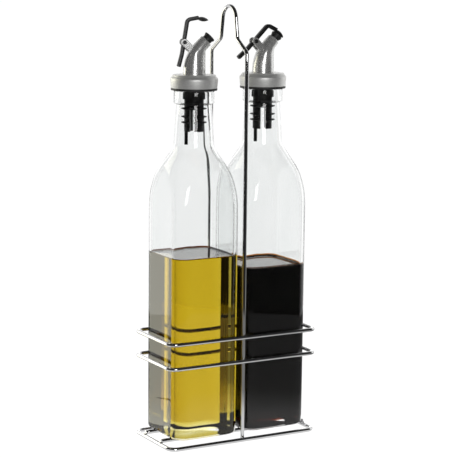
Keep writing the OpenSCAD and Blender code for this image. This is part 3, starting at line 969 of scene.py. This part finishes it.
def at_pivot(angle):
    """Places a piece drawn about the pin, with x along the lever's arm and z along the pin."""
    return (
        Matrix.Translation(PIVOT)
        @ Matrix.Rotation(math.pi / 2, 4, "X")
        @ Matrix.Rotation(MOUTH_SLANT + angle, 4, "Z")
    )


def rounded_bar(thickness, width, edge):
    """Section of a bar with rounded edges."""
    x, y = thickness / 2 - edge, width / 2 - edge
    section = []
    for corner_x, corner_y, start in ((x, y, 0), (-x, y, 90), (-x, -y, 180), (x, -y, 270)):
        section += arc(corner_x, corner_y, edge, start, start + 90, 4)
    return section


def boss_rings():
    """Short round boss that the pin runs through."""
    soft, bevel = 0.4 * MM, 0.1 * MM
    half = LEVER_W / 2
    upper = [(BOSS_R, half - soft), (BOSS_R - bevel, half - bevel), (BOSS_R - soft, half)]
    lower = [(radius, -z) for radius, z in reversed(upper)]
    return revolve(lower + upper, 48)


def make_lever(side):
    """Finger tail, arm and flap, bent from one bar, with a boss at the pin."""
    corners = [TAIL_END, Vector((TAIL_BEND_U, 0)), Vector((ARM_CORNER_U, 0)),
               Vector((FLAP_END_U, FLAP_END_V))]
    path = resampled(rounded_path(corners, [TAIL_BEND_R, ARM_CORNER_R], steps=12), LEVER_STEP)
    bar = skin(soft_ends(sweep(path, rounded_bar(LEVER_T, LEVER_W, LEVER_EDGE_R)), BAR_END))
    verts, faces = merged([bar, skin(boss_rings())])
    place = over_bottle(side) @ at_pivot(OPEN_ANGLE[side])
    add_piece(f"{side}_flip_lever", verts, faces, BLACK_PLASTIC, f"{side}_flip",
              place, [f"{side}_lever"])


def make_bracket(side):
    """Two rounded ears joined by a saddle on the spout's back."""
    ear = arc(0, 0, EAR_R, 0, 180, 16) + [(-EAR_R, -EAR_L), (EAR_R, -EAR_L)]
    skins = []
    soft = 0.3 * MM
    for sign in (-1, 1):
        inner_z = sign * EAR_GAP / 2
        outer_z = sign * (EAR_GAP / 2 + EAR_T)
        rings = []
        for share, z in ((1 - soft / EAR_R, inner_z), (1, inner_z + sign * soft),
                         (1, outer_z - sign * soft), (1 - soft / EAR_R, outer_z)):
            rings.append([Vector((x * share, y * (share if y > 0 else 1), z)) for x, y in ear])
        skins.append(skin(rings))
    top = SADDLE_T - EAR_L
    saddle = [(-EAR_R, -EAR_L), (EAR_R, -EAR_L), (EAR_R, top), (-EAR_R, top)]
    half = EAR_GAP / 2 + 0.2 * MM
    skins.append(skin([[Vector((x, y, z)) for x, y in saddle] for z in (-half, half)]))
    verts, faces = merged(skins)
    add_piece(f"{side}_hinge_ears", verts, faces, BRIGHT_METAL, f"{side}_pourer",
              over_bottle(side) @ at_pivot(0), [f"{side}_hinge_bracket"], flat_angle=30)


def finish_cad_nodes():
    """Materials for the CAD nodes that stay as they are."""
    kept = {
        "gasket": BLACK_RUBBER,
        "stopper": BLACK_RUBBER,
        "stem": BLACK_PLASTIC,
        "air_tube": BLACK_PLASTIC,
        "hinge_pin": BLACK_PLASTIC,
        "lever_seal": BLACK_RUBBER,
    }
    for side in SIDES:
        for part, material in kept.items():
            mesh = frame["nodes"][f"{side}_{part}"].data
            mesh.materials.clear()
            mesh.materials.append(material)


# ---------------------------------------------------------------- studio


CAMERA_AT = Vector((-0.64399, -1.13823, 0.38023))
CAMERA_AZIMUTH = math.radians(-29.56)
CAMERA_ELEVATION = math.radians(9.19)
CAMERA_ROLL = math.radians(0.64)
SENSOR = 36.0
CAMERA_LENS = 131.83
CAMERA_SHIFT = -0.0083
FLOOR_RADIUS = 0.5
WHITE = (1.0, 1.0, 1.0)
WARM_WHITE = (1.0, 0.97, 0.78)

WHITE_LEVEL = 1.02
# The room's levels lean: a direction below the horizon counts as further back
ROOM_LEAN = -0.4
# Brightness of the room by direction, from straight in front of the object (0) to behind it (1)
ROOM_LEVELS = ((0.0, 0.02), (0.45, 0.03), (0.56, 0.12), (0.7, 0.82), (0.9, 0.85), (0.95, 1.4),
               (1.0, 0.9))
# How much lower a near panel's top edge lies than where it shows in an upright face
MIRROR_DROP = 22 * MM
# Brightness of the floor in reflections, by distance from the middle of the set
FLOOR_LEVELS = ((0.0, 0.85), (0.18, 0.8), (0.36, 0.2), (1.0, 0.15))


def levels_ramp(tree, value, levels):
    """Grey level by a 0-1 value, through the (value, level) points given."""
    ramp = tree.nodes.new("ShaderNodeValToRGB")
    elements = ramp.color_ramp.elements
    elements[0].position = levels[0][0]
    elements[1].position = levels[-1][0]
    for position, _ in levels[1:-1]:
        elements.new(position)
    for element, (_, level) in zip(sorted(elements, key=lambda e: e.position), levels):
        element.color = (level, level, level, 1)
    tree.links.new(value, ramp.inputs["Fac"])
    return ramp.outputs["Color"]


def floor_material():
    """White floor, with a bright patch round the set and a dim rest in what mirrors it."""
    material, tree, shader = new_material("pale_floor")
    shader.inputs["Base Color"].default_value = (0.05, 0.05, 0.05, 1)
    shader.inputs["Roughness"].default_value = 0.9
    shader.inputs["Emission Color"].default_value = (*WHITE, 1)
    coords = tree.nodes.new("ShaderNodeTexCoord")
    distance = tree.nodes.new("ShaderNodeVectorMath")
    distance.operation = "LENGTH"
    share = tree.nodes.new("ShaderNodeMapRange")
    share.inputs["From Max"].default_value = FLOOR_RADIUS
    path = tree.nodes.new("ShaderNodeLightPath")
    mirrored = tree.nodes.new("ShaderNodeMath")
    mirrored.operation = "MINIMUM"
    mirrored.inputs[1].default_value = 1
    strength = tree.nodes.new("ShaderNodeMix")
    strength.inputs["A"].default_value = WHITE_LEVEL
    tree.links.new(coords.outputs["Object"], distance.inputs[0])
    tree.links.new(distance.outputs["Value"], share.inputs["Value"])
    tree.links.new(path.outputs["Glossy Depth"], mirrored.inputs[0])
    tree.links.new(mirrored.outputs["Value"], strength.inputs["Factor"])
    tree.links.new(levels_ramp(tree, share.outputs["Result"], FLOOR_LEVELS), strength.inputs["B"])
    tree.links.new(strength.outputs["Result"], shader.inputs["Emission Strength"])
    return material


def make_floor():
    """Round floor under the set."""
    verts, faces = skin(revolve([(0.01, 0), (0.2, 0), (FLOOR_RADIUS, 0)]), cap_end=False)
    mesh = bpy.data.meshes.new("floor")
    mesh.from_pydata([tuple(v) for v in verts], [], faces)
    mesh.materials.append(floor_material())
    floor = bpy.data.objects.new("floor", mesh)
    bpy.context.scene.collection.objects.link(floor)


def make_world():
    """A white backdrop behind the object and a dark room in front of it.

    What is seen directly or straight through glass is white on all sides; what is mirrored or lit
    by bounces gets the room.
    """
    world = bpy.data.worlds.new("studio")
    bpy.context.scene.world = world
    world.use_nodes = True
    tree = world.node_tree
    tree.nodes.clear()
    output = tree.nodes.new("ShaderNodeOutputWorld")
    mix = tree.nodes.new("ShaderNodeMixShader")
    white = tree.nodes.new("ShaderNodeBackground")
    white.inputs["Strength"].default_value = WHITE_LEVEL
    white.inputs["Color"].default_value = (*WHITE, 1)
    room = tree.nodes.new("ShaderNodeBackground")
    path = tree.nodes.new("ShaderNodeLightPath")
    bounced = tree.nodes.new("ShaderNodeMath")
    bounced.operation = "ADD"
    bounced.use_clamp = True
    tree.links.new(path.outputs["Glossy Depth"], bounced.inputs[0])
    tree.links.new(path.outputs["Diffuse Depth"], bounced.inputs[1])
    coords = tree.nodes.new("ShaderNodeTexCoord")
    towards = tree.nodes.new("ShaderNodeVectorMath")
    towards.operation = "DOT_PRODUCT"
    towards.inputs[1].default_value = (-math.sin(CAMERA_AZIMUTH), math.cos(CAMERA_AZIMUTH), ROOM_LEAN)
    share = tree.nodes.new("ShaderNodeMapRange")
    share.inputs["From Min"].default_value = -1
    tree.links.new(coords.outputs["Generated"], towards.inputs[0])
    tree.links.new(towards.outputs["Value"], share.inputs["Value"])
    tree.links.new(levels_ramp(tree, share.outputs["Result"], ROOM_LEVELS), room.inputs["Color"])
    tree.links.new(bounced.outputs["Value"], mix.inputs["Fac"])
    tree.links.new(white.outputs["Background"], mix.inputs[1])
    tree.links.new(room.outputs["Background"], mix.inputs[2])
    tree.links.new(mix.outputs["Shader"], output.inputs["Surface"])


def add_softbox(name, azimuth, distance, height, width, tall, strength, color=WHITE):
    """A vertical panel of light, placed by its azimuth from the camera's, towards the right."""
    a = CAMERA_AZIMUTH + math.radians(azimuth)
    data = bpy.data.lights.new(name, "AREA")
    data.shape = "RECTANGLE"
    data.size = width
    data.size_y = tall
    data.energy = strength * width * tall * math.pi
    data.color = color
    lamp = bpy.data.objects.new(name, data)
    lamp.location = (math.sin(a) * distance, -math.cos(a) * distance, height)
    aim = Vector((0, 0, height)) - lamp.location
    lamp.rotation_euler = aim.to_track_quat("-Z", "Y").to_euler()
    lamp.visible_camera = False
    lamp.visible_transmission = False
    bpy.context.scene.collection.objects.link(lamp)


def make_left_panels():
    """Warm panels close to the left of the set.

    In the oil bottle's left face, the lower one shows up to the oil's surface and not in the clear
    glass above it. The upper one shows in the caps and spouts, and the small one at the foot.
    """
    azimuth, distance, width = -103, 0.168, 0.08
    tall_panels = (
        ("left_low", 0, FILL_Z["oil"] - MIRROR_DROP, 2.0),
        ("left_high", 0.255, 0.375, 2.2),
    )
    for name, foot, top, strength in tall_panels:
        add_softbox(name, azimuth, distance, (foot + top) / 2, width, top - foot, strength, WARM_WHITE)
    add_softbox("left_foot", azimuth=-84, distance=0.086, height=0.012, width=0.044, tall=0.024,
                strength=1.8, color=WARM_WHITE)


def make_lights():
    """Key light at the front, weak light from the right and behind, and the left panels."""
    add_softbox("key", azimuth=12, distance=2.2, height=0.64, width=0.75, tall=0.9, strength=7.5)
    make_left_panels()
    add_softbox("right", azimuth=115, distance=2.2, height=0.9, width=1.2, tall=1.8, strength=0.6)
    add_softbox("back", azimuth=180, distance=2.2, height=0.55, width=1.0, tall=0.3, strength=1.8)


def make_camera():
    """The camera that took the picture, from the front left and a little above."""
    data = bpy.data.cameras.new("camera")
    data.sensor_width = SENSOR
    data.lens = CAMERA_LENS
    data.shift_y = CAMERA_SHIFT
    data.clip_start = 0.01
    camera = bpy.data.objects.new("camera", data)
    camera.matrix_world = (
        Matrix.Translation(CAMERA_AT)
        @ Matrix.Rotation(CAMERA_AZIMUTH, 4, "Z")
        @ Matrix.Rotation(math.pi / 2 - CAMERA_ELEVATION, 4, "X")
        @ Matrix.Rotation(CAMERA_ROLL, 4, "Z")
    )
    bpy.context.scene.collection.objects.link(camera)
    bpy.context.scene.camera = camera


make_camera()
make_floor()
make_world()
make_lights()
make_rack()
for side in SIDES:
    make_bottle(side)
    make_liquid(side)
    make_cap(side)
    make_spout(side)
    make_nozzle(side)
    make_bracket(side)
    make_lever(side)
make_vinegar_film()
finish_cad_nodes()

bpy.context.scene.view_settings.view_transform = "Standard"
